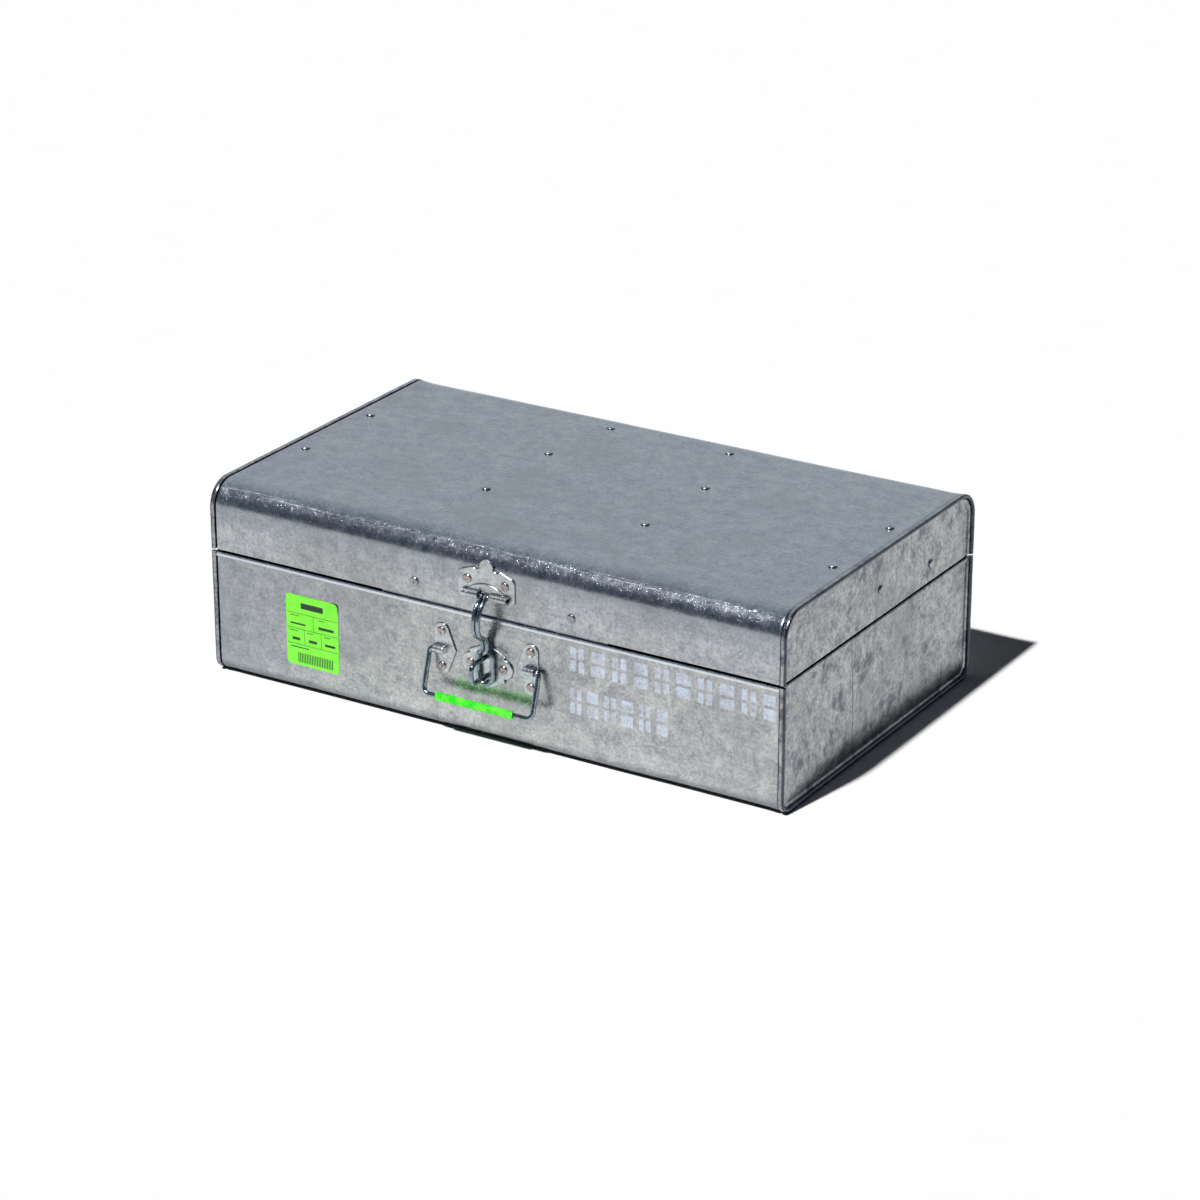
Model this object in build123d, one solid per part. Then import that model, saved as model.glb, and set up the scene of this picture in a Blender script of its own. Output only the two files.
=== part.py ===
from build123d import *
import os
from math import atan2, cos, radians, sin, sqrt, tan

# Small tin trunk: a galvanised sheet box with a hinged lid, a wire hasp over a staple, and a wire handle.
# +X runs along the length, -Y is the front and +Z is up. The origin is on the floor, in the middle of the
# whole footprint, the staple in front and the hinges behind included. All sizes are in millimetres.

# ---- Box ----
trunk_length = 400.0          # over the seam rims of the two ends
trunk_width = 234.0           # over the front and back sheets
trunk_height = 123.6          # floor to the flat top of the lid
base_height = 80.0            # floor to the top edge of the base
lid_gap = 1.6                 # open line between base and lid
sheet = 0.6                   # thickness of the box sheet
base_corner_radius = 9.0      # bottom front and bottom back edges, outside
lid_roll_radius = 16.0        # top front and top back edges, outside
hem_height = 2.8              # folded top edge of the base
hem_rounding = 0.4

# ---- Seam rims that join the ends to the body sheets ----
seam_lip = 0.9                # each fold beside the body sheet
seam_width = 3.2              # how far the outer fold reaches over the body sheet
seam_web = 0.8                # metal that closes the rim at its outer face
seam_rounding = 0.7           # rounding of the rim's outer face
end_recess = 2.4              # depth of the end panel behind the rim's outer face

# ---- Rivets ----
rivet_head_radius = 2.8
rivet_head_height = 1.1
rivet_head_rounding = 0.7
rivet_shank_radius = 1.5
rivet_hole_clearance = 0.05
rivet_tail_radius = 2.3
rivet_tail_height = 0.7

# ---- Stiffeners under the lid, with four rivets each ----
stiffener_front = 80.0        # middle of the front one, behind the front face
stiffener_rear = 150.5        # middle of the rear one
stiffener_width = 14.0
stiffener_depth = 8.0
stiffener_sheet = 0.8
stiffener_end_gap = 1.0
stiffener_rivet_inset = 14.5  # outermost rivets, from the rim's outer face
stiffener_rivet_left = -52.0  # inner rivets, from the middle of the length
stiffener_rivet_right = 60.0

# ---- Lip strips inside the lid's skirt, with two rivets each ----
lip_clearance = 0.5           # lip to the walls of the base
lip_drop = 8.0                # how far a lip reaches down into the base
lip_top_share = 0.942         # height of its upper edge, as a share of the skirt's flat part
lip_joggle_rise = 2.0         # height of its inward step over the lid's edge
lip_overhang = 24.0           # how far it runs on past its outer rivets
lip_front_rivet_left = -50.8
lip_front_rivet_right = 58.3
lip_front_rivet_share = 0.385 # height, as a share of the skirt's flat part
lip_end_rivet_front = 117.6   # behind the front face
lip_end_rivet_front_share = 0.65
lip_end_rivet_rear = 182.3
lip_end_rivet_rear_share = 0.42

# ---- Hinges at the back ----
hinge_left_x = -42.9
hinge_right_x = 42.9
hinge_width = 26.0
hinge_sheet = 0.9
hinge_pin_radius = 1.5
hinge_clearance = 0.05        # pin in knuckle, on radius
hinge_gap = 0.35              # between knuckles, and from the knuckles to the back of the base
hinge_lid_knuckle = 9.4
hinge_base_leaf = 21.0        # leaf below the axis
hinge_base_rivet_drop = 14.0  # rivets below the axis
hinge_base_rivet_spacing = 14.0
hinge_joggle = 1.6            # height over which the base leaf steps in to the wall
hinge_lid_rivet_rise = 13.0   # rivet in the lid's back wall, above the lid's edge
hinge_top_rivet = 24.5        # rivet in the lid's top, in front of the back face
hinge_top_overhang = 9.0      # lid leaf past that rivet
hinge_corner = 3.0
hinge_bend = 1.1              # outside of the lid leaf's lower bend
hinge_pin_head_radius = 2.2
hinge_pin_head = 0.8
hinge_pin_end_gap = 0.1

# ---- Hasp plate on the lid, heights from the barrel's axis ----
hardware_x = 0.5              # middle of the hasp, its plate and the staple
fitting_sheet = 1.2
fitting_rounding = 0.4
barrel_half_length = 15.4
barrel_window = 4.3           # half width of the window in the barrel
barrel_side_gap = 0.5         # barrel to the plate's side lobes
hasp_plate_half_width = 19.5
hasp_plate_lobe_drop = 3.6
hasp_plate_lobe_rounding = 3.3
hasp_plate_shoulder = 12.6
hasp_plate_shoulder_rounding = 4.0
hasp_plate_crown = 16.2
hasp_plate_crown_half_width = 9.5
hasp_plate_bump = 17.6
hasp_plate_bump_radius = 4.6
hasp_plate_scallop_x = 7.2
hasp_plate_scallop = 18.4
hasp_plate_scallop_radius = 3.2
hasp_plate_rivet_spacing = 26.0
hasp_plate_rivet_rise = 8.2
hasp_plate_rivet_share = 0.792  # height of the rivets, as a share of the skirt's flat part
hasp_swell_half_width = 13.8  # pressed arch over the barrel
hasp_swell_foot = 1.6
hasp_swell_crest = 7.3
hasp_swell_proud = 0.9
hasp_swell_rounding = 0.6
hasp_swell_slot = 4.4         # top of the slot that clears the hasp when it is swung up

# ---- Hasp: one bent wire ----
hasp_wire = 2.8
hasp_clearance = 0.06         # wire in barrel, on radius
hasp_strand_offset = 1.6      # middle of the hasp to the middle of each strand
hasp_pin_length = 6.8         # straight end in each half of the barrel
hasp_pin_bend = 2.6
hasp_bow = 13.2               # how far the strands stand off the front at their fullest
hasp_turn_out = 60.0          # degrees from the barrel to the fullest point
hasp_bow_share = 0.534        # share of the way back in that bends one way, before it bends the other
hasp_neck_rise = 12.8         # where the strands start to spread, over the staple's middle
hasp_eye_gap = 0.7            # between the eye and the staple plate
hasp_eye_half_width = 5.1
hasp_eye_turn = 55.0          # degrees by which each strand spreads into the eye
hasp_eye_drop = 10.8          # middle of the wire at the bottom of the eye, below the staple's middle

# ---- Staple and its plate on the base ----
staple_drop = 31.0            # middle of the staple and its plate, below the base's top edge
staple_wire = 3.0
staple_pitch = 12.4           # leg to leg
staple_reach = 18.2           # front face to the middle of the staple's bar
staple_bend = 4.2
staple_hole_clearance = 0.05
staple_tail_bend = 1.6
staple_tail = 3.0
staple_plate_point = 14.5     # upper and lower points, from the middle
staple_plate_shoulder_x = 12.6
staple_plate_shoulder_z = 8.4
staple_plate_notch_x = 11.6
staple_plate_notch_z = 5.8
staple_plate_lobe = 6.2
staple_plate_rivet_spacing = 23.0

# ---- Handle ----
handle_x = -0.3               # middle of the handle
handle_pivot_drop = 26.8      # pivot, below the base's top edge
handle_wire = 3.2
handle_span = 76.3            # arm to arm
handle_drop = 27.8            # pivot to the middle of the grip
handle_lean = 17.5            # degrees out from hanging straight
handle_pin_length = 6.6
handle_pin_bend = 2.6
handle_corner_bend = 4.0
handle_clearance = 0.06       # wire in its strap, on radius
handle_gap = 0.3              # wire to plate, pin to the strap's closed end, strap to the bend
handle_plate_sheet = 1.0
handle_plate_inset = 7.05     # rivet line, inwards from the arm
handle_plate_rivet_spacing = 22.4
handle_plate_lobe = 5.0
handle_plate_point = 9.0      # inner point, from the rivet line
handle_plate_point_rounding = 0.8
handle_plate_rounding = 0.35
strap_end_rounding = 0.9
grip_length = 54.3
grip_offset = -2.05           # the grip sits a little left of the handle's middle
grip_diameter = 5.2
grip_clearance = 0.05
grip_slant = 18.0             # slant of the cut ends, degrees

# ---- Sticker on the front ----
label_inset = 73.8            # middle of the sticker, from the left end
label_drop = 39.0             # middle of the sticker, below the base's top edge
label_width = 38.4
label_tall = 46.0
label_corner = 2.6
label_thickness = 0.12

# ---- Worked out from the dimensions ----
hinge_knuckle = hinge_pin_radius + hinge_clearance + hinge_sheet
hinge_proud = hinge_gap + 2 * hinge_knuckle
staple_proud = staple_reach + staple_wire / 2
front_y = (staple_proud - trunk_width - hinge_proud) / 2
back_y = front_y + trunk_width
half_length = trunk_length / 2
lid_edge = base_height + lid_gap
roll_start = trunk_height - lid_roll_radius
skirt_flat = roll_start - lid_edge
barrel_height = lid_edge + hasp_plate_rivet_share * skirt_flat - hasp_plate_rivet_rise
staple_height = base_height - staple_drop
handle_pivot_height = base_height - handle_pivot_drop
body_end_x = half_length - seam_web
panel_outer_x = half_length - end_recess
panel_inner_x = panel_outer_x - sheet
seam_inside = sheet + seam_lip
rivet_hole = rivet_shank_radius + rivet_hole_clearance
cut = 6.0                     # reach of the cutters that make holes

FRONT = Rot(90, 0, 0)         # turns a shape that faces +Z to face the front, the back or an end
BACK = Rot(-90, 0, 0)
RIGHT = Rot(0, 90, 0)
LEFT = Rot(0, -90, 0)


def write(node, shape):
    """Write one named piece, or one group of like pieces."""
    export_step(shape, os.path.join("parts", node + ".step"))


def block(x0, x1, y0, y1, z0, z1):
    """A box between two corners."""
    return Pos((x0 + x1) / 2, (y0 + y1) / 2, (z0 + z1) / 2) * Box(x1 - x0, y1 - y0, z1 - z0)


def mirrored(shape, x=0.0):
    """The other hand of a shape, across the plane at x."""
    return mirror(shape, about=Plane(origin=(x, 0, 0), z_dir=(1, 0, 0)))


def rivet(grip):
    """A rivet that faces +Z: head above, shank through sheets of this total thickness, tail below."""
    head = Pos(0, 0, rivet_head_height / 2) * Cylinder(rivet_head_radius, rivet_head_height)
    head = fillet(head.edges().sort_by(Axis.Z)[-1], rivet_head_rounding)
    shank = Pos(0, 0, -grip / 2) * Cylinder(rivet_shank_radius, grip)
    tail = Pos(0, 0, -grip - rivet_tail_height / 2) * Cylinder(rivet_tail_radius, rivet_tail_height)
    return head + shank + tail


def rivets(places, grip):
    """A group of like rivets."""
    one = rivet(grip)
    return Compound(children=[place * one for place in places])


def holes(places, radius=rivet_hole):
    """Cutters for holes at these places."""
    return [place * Cylinder(radius, 2 * cut) for place in places]


def section(closed_z, open_z, corner_radius, grow):
    """Outline across the trunk, rounded on its closed side and square on its open side."""
    up = 1 if closed_z > open_z else -1
    y0 = front_y - grow
    y1 = back_y + grow
    flat_z = closed_z + up * grow
    radius = corner_radius + grow
    turn_z = flat_z - up * radius
    near = radius * (1 - sqrt(0.5))
    edges = [
        Line((0, y0, open_z), (0, y0, turn_z)),
        ThreePointArc((0, y0, turn_z), (0, y0 + near, flat_z - up * near), (0, y0 + radius, flat_z)),
        Line((0, y0 + radius, flat_z), (0, y1 - radius, flat_z)),
        ThreePointArc((0, y1 - radius, flat_z), (0, y1 - near, flat_z - up * near), (0, y1, turn_z)),
        Line((0, y1, turn_z), (0, y1, open_z)),
        Line((0, y1, open_z), (0, y0, open_z)),
    ]
    return make_face(edges)


def base_section(grow):
    """Outline of the base: open at the top, its rims on the floor."""
    return section(seam_lip, base_height, base_corner_radius, grow)


def lid_section(grow):
    """Outline of the lid: open at the bottom."""
    return section(trunk_height, lid_edge, lid_roll_radius, grow)


def along(face, x0, x1):
    """A cross-section carried along the trunk."""
    return extrude(Pos(x0, 0, 0) * face, amount=x1 - x0, dir=(1, 0, 0))


def band(profile, outer, inner, x0, x1):
    """The metal between two offsets of a cross-section."""
    return along(profile(outer), x0, x1) - along(profile(inner), x0, x1)


def end_panel(profile):
    """Right end: a recessed panel whose edge is folded over the body sheet in a proud rim."""
    panel = along(profile(-sheet), panel_inner_x, panel_outer_x)
    inner_fold = band(profile, -sheet, -seam_inside, panel_inner_x, half_length)
    outer_fold = band(profile, seam_lip, 0, half_length - seam_width, half_length)
    web = band(profile, seam_lip, -seam_inside, body_end_x, half_length)
    body = panel + inner_fold + outer_fold + web
    rim = body.faces().sort_by(Axis.X)[-1]
    long_edges = [edge for edge in rim.edges() if edge.length > 2 * (seam_lip + seam_inside)]
    return fillet(long_edges, seam_rounding)


def bend(start, centre, end):
    """Arc from start to end about a centre, the short way round."""
    start = Vector(*start)
    centre = Vector(*centre)
    end = Vector(*end)
    middle = centre + (start - centre + end - centre).normalized() * (start - centre).length
    return ThreePointArc(start, middle, end)


def bent_wire(path, diameter):
    """Round wire along lines and arcs that run into each other."""
    line = Wire(path)
    start = Plane(origin=line @ 0, z_dir=line % 0)
    return sweep(start * Circle(diameter / 2), path=line)


def on_front(sketch, thickness):
    """Sheet metal on the front face: sketch x and y become x and height."""
    return Pos(0, front_y, 0) * FRONT * extrude(sketch, thickness)


def soften_front(plate, radius):
    """Ease the edges of a plate's front face."""
    face = plate.faces().sort_by(Axis.Y)[0]
    return fillet(face.edges(), radius)


os.makedirs("parts", exist_ok=True)

# ---- Places of the rivets ----
stiffener_rivet_xs = [
    stiffener_rivet_inset - half_length,
    stiffener_rivet_left,
    stiffener_rivet_right,
    half_length - stiffener_rivet_inset,
]
stiffener_rows = [front_y + stiffener_front, front_y + stiffener_rear]
top_places = [Pos(x, y, trunk_height) for y in stiffener_rows for x in stiffener_rivet_xs]
hinge_xs = [hinge_left_x, hinge_right_x]
hinge_strip_z = base_height + (lid_gap - hinge_sheet) / 2
hinge_axis_z = hinge_strip_z - hinge_clearance - hinge_pin_radius
hinge_axis_y = back_y + hinge_gap + hinge_knuckle
hinge_top_places = [Pos(x, back_y - hinge_top_rivet, trunk_height) for x in hinge_xs]
hinge_back_places = [Pos(x, back_y, lid_edge + hinge_lid_rivet_rise) * BACK for x in hinge_xs]
hinge_base_rivet_z = hinge_axis_z - hinge_base_rivet_drop
hinge_base_places = [
    Pos(x + side * hinge_base_rivet_spacing / 2, back_y + hinge_sheet, hinge_base_rivet_z) * BACK
    for x in hinge_xs
    for side in (-1, 1)
]
lip_front_xs = [lip_front_rivet_left, lip_front_rivet_right]
lip_front_z = lid_edge + lip_front_rivet_share * skirt_flat
lip_front_places = [Pos(x, front_y, lip_front_z) * FRONT for x in lip_front_xs]
lip_end_spots = [
    (front_y + lip_end_rivet_front, lid_edge + lip_end_rivet_front_share * skirt_flat),
    (front_y + lip_end_rivet_rear, lid_edge + lip_end_rivet_rear_share * skirt_flat),
]
lip_right_places = [Pos(panel_outer_x, y, z) * RIGHT for y, z in lip_end_spots]
lip_left_places = [Pos(-panel_outer_x, y, z) * LEFT for y, z in lip_end_spots]
hasp_rivet_z = barrel_height + hasp_plate_rivet_rise
hasp_plate_places = [
    Pos(hardware_x + side * hasp_plate_rivet_spacing / 2, front_y - fitting_sheet, hasp_rivet_z) * FRONT
    for side in (-1, 1)
]
staple_plate_places = [
    Pos(hardware_x + side * staple_plate_rivet_spacing / 2, front_y - fitting_sheet, staple_height) * FRONT
    for side in (-1, 1)
]
staple_leg_places = [
    Pos(hardware_x, front_y, staple_height + side * staple_pitch / 2) * FRONT
    for side in (-1, 1)
]
handle_rivet_x = handle_span / 2 - handle_plate_inset
lobe_z = handle_plate_rivet_spacing / 2
handle_plate_y = front_y - handle_plate_sheet
handle_plate_places = [
    Pos(handle_x + side * handle_rivet_x, handle_plate_y, handle_pivot_height + up * lobe_z) * FRONT
    for side in (-1, 1)
    for up in (-1, 1)
]

# ---- Base: one sheet for front, bottom and back, its top edges folded outwards ----
hem_half = half_length - seam_width - lip_clearance
hem_z = base_height - hem_height
front_hem = block(-hem_half, hem_half, front_y - sheet, front_y, hem_z, base_height)
front_hem = fillet(front_hem.edges().filter_by(Axis.X).sort_by(Axis.Y)[:2], hem_rounding)
middle_plane = Plane(origin=(0, (front_y + back_y) / 2, 0), z_dir=(0, 1, 0))
back_hem = mirror(front_hem, about=middle_plane)
hinge_room = hinge_width / 2 + hinge_pin_head + hinge_pin_end_gap + lip_clearance
for x in hinge_xs:
    room = block(x - hinge_room, x + hinge_room, back_y, back_y + cut, hem_z - cut, base_height + cut)
    back_hem = back_hem - room
base_body = band(base_section, 0, -sheet, -body_end_x, body_end_x) + front_hem + back_hem
base_holes = holes(hinge_base_places + staple_plate_places + handle_plate_places)
leg_hole = staple_wire / 2 + staple_hole_clearance
base_body = base_body - base_holes - holes(staple_leg_places, leg_hole)
write("base_body", base_body)

# ---- Ends of the base, top edge folded outwards between the rims ----
end_hem = block(
    panel_outer_x,
    panel_outer_x + sheet,
    front_y + seam_inside,
    back_y - seam_inside,
    hem_z,
    base_height,
)
base_end = end_panel(base_section) + end_hem
write("base_right_end", base_end)
write("base_left_end", mirrored(base_end))

# ---- Lid: one sheet for skirt and top, and its two ends ----
lid_body = band(lid_section, 0, -sheet, -body_end_x, body_end_x)
lid_body = lid_body - holes(top_places + hinge_top_places + hinge_back_places)
lid_body = lid_body - holes(lip_front_places + hasp_plate_places)
write("lid_body", lid_body)
lid_end = end_panel(lid_section)
write("lid_right_end", lid_end - holes(lip_right_places))
write("lid_left_end", mirrored(lid_end) - holes(lip_left_places))

# ---- Stiffeners: channels under the lid's top ----
stiffener_top = trunk_height - sheet
stiffener_half = panel_inner_x - stiffener_end_gap
for node, y in zip(("lid_front_stiffener", "lid_rear_stiffener"), stiffener_rows):
    y0 = y - stiffener_width / 2
    y1 = y + stiffener_width / 2
    floor = stiffener_top - stiffener_depth
    channel = block(-stiffener_half, stiffener_half, y0, y1, floor, stiffener_top)
    outer_edges = channel.edges().filter_by(Axis.X).sort_by(Axis.Z)[-2:]
    channel = fillet(outer_edges, 2 * stiffener_sheet)
    hollow = block(
        -half_length,
        half_length,
        y0 + stiffener_sheet,
        y1 - stiffener_sheet,
        floor - stiffener_sheet,
        stiffener_top - stiffener_sheet,
    )
    hollow = fillet(hollow.edges().filter_by(Axis.X).sort_by(Axis.Z)[-2:], stiffener_sheet)
    write(node, channel - hollow - holes(top_places))
write("lid_top_rivets", rivets(top_places, sheet + stiffener_sheet))

# ---- Lip strips: flat against the skirt above, stepped in below to pass inside the base ----
lip_top = lid_edge + lip_top_share * skirt_flat
lip_bottom = base_height - lip_drop
lip_step = lid_edge + lip_joggle_rise


def lip_strip(length):
    """A strip along X whose upper part lies on the plane y = 0, seen from the +Y side."""
    points = [
        (0, lip_top),
        (0, lip_step + lip_clearance),
        (lip_clearance, lip_step),
        (lip_clearance, lip_bottom),
        (lip_clearance + sheet, lip_bottom),
        (lip_clearance + sheet, lip_step),
        (sheet, lip_step + lip_clearance),
        (sheet, lip_top),
    ]
    outline = make_face(Polyline([(-length / 2, y, z) for y, z in points], close=True))
    return extrude(outline, amount=length, dir=(1, 0, 0))


front_lip_length = lip_front_rivet_right - lip_front_rivet_left + 2 * lip_overhang
front_lip_x = (lip_front_rivet_left + lip_front_rivet_right) / 2
front_lip = Pos(front_lip_x, front_y + sheet, 0) * lip_strip(front_lip_length)
write("lid_front_lip", front_lip - holes(lip_front_places + hasp_plate_places))
end_lip_length = lip_end_rivet_rear - lip_end_rivet_front + 2 * lip_overhang
end_lip_y = front_y + (lip_end_rivet_front + lip_end_rivet_rear) / 2
right_lip = Pos(panel_inner_x, end_lip_y, 0) * Rot(0, 0, 90) * lip_strip(end_lip_length)
write("lid_right_lip", right_lip - holes(lip_right_places))
write("lid_left_lip", mirrored(right_lip) - holes(lip_left_places))
write("lid_lip_rivets", rivets(lip_front_places + lip_right_places + lip_left_places, 2 * sheet))

# ---- Hinges: knuckles behind the seam, lid leaf in through the gap and up inside the lid ----
knuckle_bore = hinge_pin_radius + hinge_clearance


def knuckle(x0, x1):
    """One rolled knuckle round the hinge axis."""
    turned = Pos((x0 + x1) / 2, hinge_axis_y, hinge_axis_z) * RIGHT
    return turned * (Cylinder(hinge_knuckle, x1 - x0) - Cylinder(knuckle_bore, x1 - x0))


def hinge_base_leaf_at(x):
    """Leaf on the outside of the base's back, with the two outer knuckles."""
    x0 = x - hinge_width / 2
    x1 = x + hinge_width / 2
    inner = hinge_lid_knuckle / 2 + hinge_gap
    step_z = hinge_axis_z - hinge_knuckle - hinge_gap
    low_z = hinge_axis_z - hinge_base_leaf
    outer_y = back_y + hinge_sheet
    points = [
        (back_y, low_z),
        (back_y, step_z - hinge_joggle),
        (back_y + hinge_gap, step_z),
        (back_y + hinge_gap, hinge_axis_z),
        (outer_y + hinge_gap, hinge_axis_z),
        (outer_y + hinge_gap, step_z),
        (outer_y, step_z - hinge_joggle),
        (outer_y, low_z),
    ]
    outline = make_face(Polyline([(x0, y, z) for y, z in points], close=True))
    leaf = extrude(outline, amount=x1 - x0, dir=(1, 0, 0))
    leaf = leaf - block(x - inner, x + inner, back_y, back_y + cut, step_z, hinge_axis_z + cut)
    leaf = fillet(leaf.edges().filter_by(Axis.Y).sort_by(Axis.Z)[:2], hinge_corner)
    leaf = leaf + knuckle(x0, x - inner) + knuckle(x + inner, x1)
    return leaf - holes(hinge_base_places)


def hinge_lid_leaf_at(x):
    """Leaf from the middle knuckle through the gap, up inside the back and forward under the top."""
    x0 = x - hinge_width / 2
    x1 = x + hinge_width / 2
    middle = hinge_lid_knuckle / 2
    inside_y = back_y - sheet
    strip_top = hinge_strip_z + hinge_sheet
    reach_y = back_y - hinge_top_rivet - hinge_top_overhang
    upper = band(lid_section, -sheet, -sheet - hinge_sheet, x0, x1)
    upper = upper & block(x0, x1, reach_y, back_y, lid_edge, trunk_height)
    lower = block(x0, x1, inside_y - hinge_sheet, back_y, hinge_strip_z, strip_top)
    lower = lower + block(x0, x1, inside_y - hinge_sheet, inside_y, hinge_strip_z, lid_edge)
    corner = lower.edges().filter_by(Axis.X).sort_by(lambda edge: edge.center().Y + edge.center().Z)[0]
    lower = fillet(corner, hinge_bend)
    tongue = block(x - middle, x + middle, back_y, hinge_axis_y, hinge_strip_z, strip_top)
    leaf = upper + lower
    leaf = fillet(leaf.edges().filter_by(Axis.Z).sort_by(Axis.Y)[:2], hinge_corner)
    leaf = leaf + tongue + knuckle(x - middle, x + middle)
    return leaf - holes(hinge_top_places + hinge_back_places)


def hinge_pin_at(x):
    """Pin through the three knuckles, headed at both ends."""
    reach = hinge_width / 2 + hinge_pin_end_gap
    pin = Cylinder(hinge_pin_radius, 2 * reach)
    head = Cylinder(hinge_pin_head_radius, hinge_pin_head)
    for side in (-1, 1):
        pin = pin + Pos(0, 0, side * (reach + hinge_pin_head / 2)) * head
    return Pos(x, hinge_axis_y, hinge_axis_z) * RIGHT * pin


for side, x in zip(("left", "right"), hinge_xs):
    write("hinge_" + side + "_base_leaf", hinge_base_leaf_at(x))
    write("hinge_" + side + "_lid_leaf", hinge_lid_leaf_at(x))
    write("hinge_" + side + "_pin", hinge_pin_at(x))
write("hinge_base_rivets", rivets(hinge_base_places, hinge_sheet + sheet))
write("hinge_lid_rivets", rivets(hinge_top_places + hinge_back_places, hinge_sheet + sheet))

# ---- Hasp plate: its lower edge rolled into a barrel with a window in the middle ----
barrel_bore = hasp_wire / 2 + hasp_clearance
barrel_radius = barrel_bore + fitting_sheet
barrel_y = front_y - barrel_radius
plate_corners = Polyline(
    (-hasp_plate_half_width, -hasp_plate_lobe_drop),
    (hasp_plate_half_width, -hasp_plate_lobe_drop),
    (hasp_plate_half_width, hasp_plate_shoulder),
    (hasp_plate_crown_half_width, hasp_plate_crown),
    (-hasp_plate_crown_half_width, hasp_plate_crown),
    (-hasp_plate_half_width, hasp_plate_shoulder),
    close=True,
)
outline = make_face(plate_corners)
lobes = outline.vertices().sort_by(Axis.Y)
outline = fillet(lobes[2:4], hasp_plate_shoulder_rounding)
outline = fillet(outline.vertices().sort_by(Axis.Y)[:2], hasp_plate_lobe_rounding)
scallop = Circle(hasp_plate_scallop_radius)
for side in (-1, 1):
    outline = outline - Pos(side * hasp_plate_scallop_x, hasp_plate_scallop) * scallop
outline = outline + Pos(0, hasp_plate_bump) * Circle(hasp_plate_bump_radius)
hasp_plate = Pos(hardware_x, 0, barrel_height) * on_front(outline, fitting_sheet)
hasp_plate = soften_front(hasp_plate, fitting_rounding)
swell_ends = [(-hasp_swell_half_width, hasp_swell_foot), (hasp_swell_half_width, hasp_swell_foot)]
swell_arc = ThreePointArc(swell_ends[0], (0, hasp_swell_crest), swell_ends[1])
swell_face = Pos(hardware_x, barrel_height) * make_face([swell_arc, Line(*swell_ends)])
swell = on_front(swell_face, fitting_sheet + hasp_swell_proud)
swell = fillet(swell.faces().sort_by(Axis.Y)[0].edges().filter_by(GeomType.CIRCLE), hasp_swell_rounding)
slot_x0 = hardware_x - barrel_window
slot_x1 = hardware_x + barrel_window
slot_front = front_y - fitting_sheet
slot_top = barrel_height + hasp_swell_slot
swell = swell - block(slot_x0, slot_x1, front_y - cut, slot_front, barrel_height - cut, slot_top)
hasp_plate = hasp_plate + swell
reach = barrel_half_length + barrel_side_gap
low = barrel_height - hasp_plate_lobe_drop - cut
room = block(hardware_x - reach, hardware_x + reach, front_y - cut, front_y, low, barrel_height)
hasp_plate = hasp_plate - room
barrel_place = Pos(hardware_x, barrel_y, barrel_height) * RIGHT
hasp_plate = hasp_plate - barrel_place * Cylinder(barrel_bore, 2 * barrel_half_length)
for side in (-1, 1):
    barrel_middle = side * (barrel_half_length + barrel_window) / 2
    roll = Cylinder(barrel_radius, barrel_half_length - barrel_window)
    roll = roll - Cylinder(barrel_bore, 2 * barrel_half_length)
    hasp_plate = hasp_plate + barrel_place * Pos(0, 0, barrel_middle) * roll
write("hasp_plate", hasp_plate - holes(hasp_plate_places))
write("hasp_plate_rivets", rivets(hasp_plate_places, fitting_sheet + 2 * sheet))

# ---- Hasp: a hairpin of wire, its ends turned out into the barrel, its loop opened to an eye ----
strand_x = hardware_x + hasp_strand_offset
pin_bend_x = strand_x + hasp_pin_bend
leave_angle = radians(90 - hasp_turn_out)
eye_angle = radians(hasp_eye_turn)
leave_y = barrel_y - hasp_pin_bend * cos(leave_angle)
leave_z = barrel_height - hasp_pin_bend * sin(leave_angle)
leave = (strand_x, leave_y, leave_z)
bow_y = front_y - hasp_bow
out_bend = (leave_y - bow_y) / (1 - sin(leave_angle))
bow_z = leave_z - out_bend * cos(leave_angle)
eye_y = front_y - fitting_sheet - hasp_eye_gap - hasp_wire / 2
drop_z = staple_height + hasp_neck_rise
turn_in = 2 * atan2(eye_y - bow_y, bow_z - drop_z)
both_bends = (bow_z - drop_z) / sin(turn_in)
bow_bend = hasp_bow_share * both_bends
back_bend = both_bends - bow_bend
turn_y = bow_y + bow_bend * (1 - cos(turn_in))
turn_z = bow_z - bow_bend * sin(turn_in)
spread = (hasp_eye_half_width - hasp_strand_offset) / (2 - 2 * cos(eye_angle))
eye_x = hardware_x + hasp_eye_half_width
middle_x = (strand_x + eye_x) / 2
middle_z = drop_z - spread * sin(eye_angle)
spread_z = drop_z - 2 * spread * sin(eye_angle)
eye_bottom = staple_height - hasp_eye_drop
loop_z = eye_bottom + hasp_eye_half_width
pin_end = (pin_bend_x + hasp_pin_length, barrel_y, barrel_height)
pin_turn = (pin_bend_x, barrel_y, barrel_height)
half_hasp = bent_wire(
    [
        Line(pin_end, pin_turn),
        bend(pin_turn, (pin_bend_x, leave_y, leave_z), leave),
        bend(leave, (strand_x, bow_y + out_bend, bow_z), (strand_x, bow_y, bow_z)),
        bend((strand_x, bow_y, bow_z), (strand_x, bow_y + bow_bend, bow_z), (strand_x, turn_y, turn_z)),
        bend((strand_x, turn_y, turn_z), (strand_x, eye_y - back_bend, drop_z), (strand_x, eye_y, drop_z)),
        bend((strand_x, eye_y, drop_z), (strand_x + spread, eye_y, drop_z), (middle_x, eye_y, middle_z)),
        bend((middle_x, eye_y, middle_z), (eye_x - spread, eye_y, spread_z), (eye_x, eye_y, spread_z)),
        Line((eye_x, eye_y, spread_z), (eye_x, eye_y, loop_z)),
        bend((eye_x, eye_y, loop_z), (hardware_x, eye_y, loop_z), (hardware_x, eye_y, eye_bottom)),
    ],
    hasp_wire,
)
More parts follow.
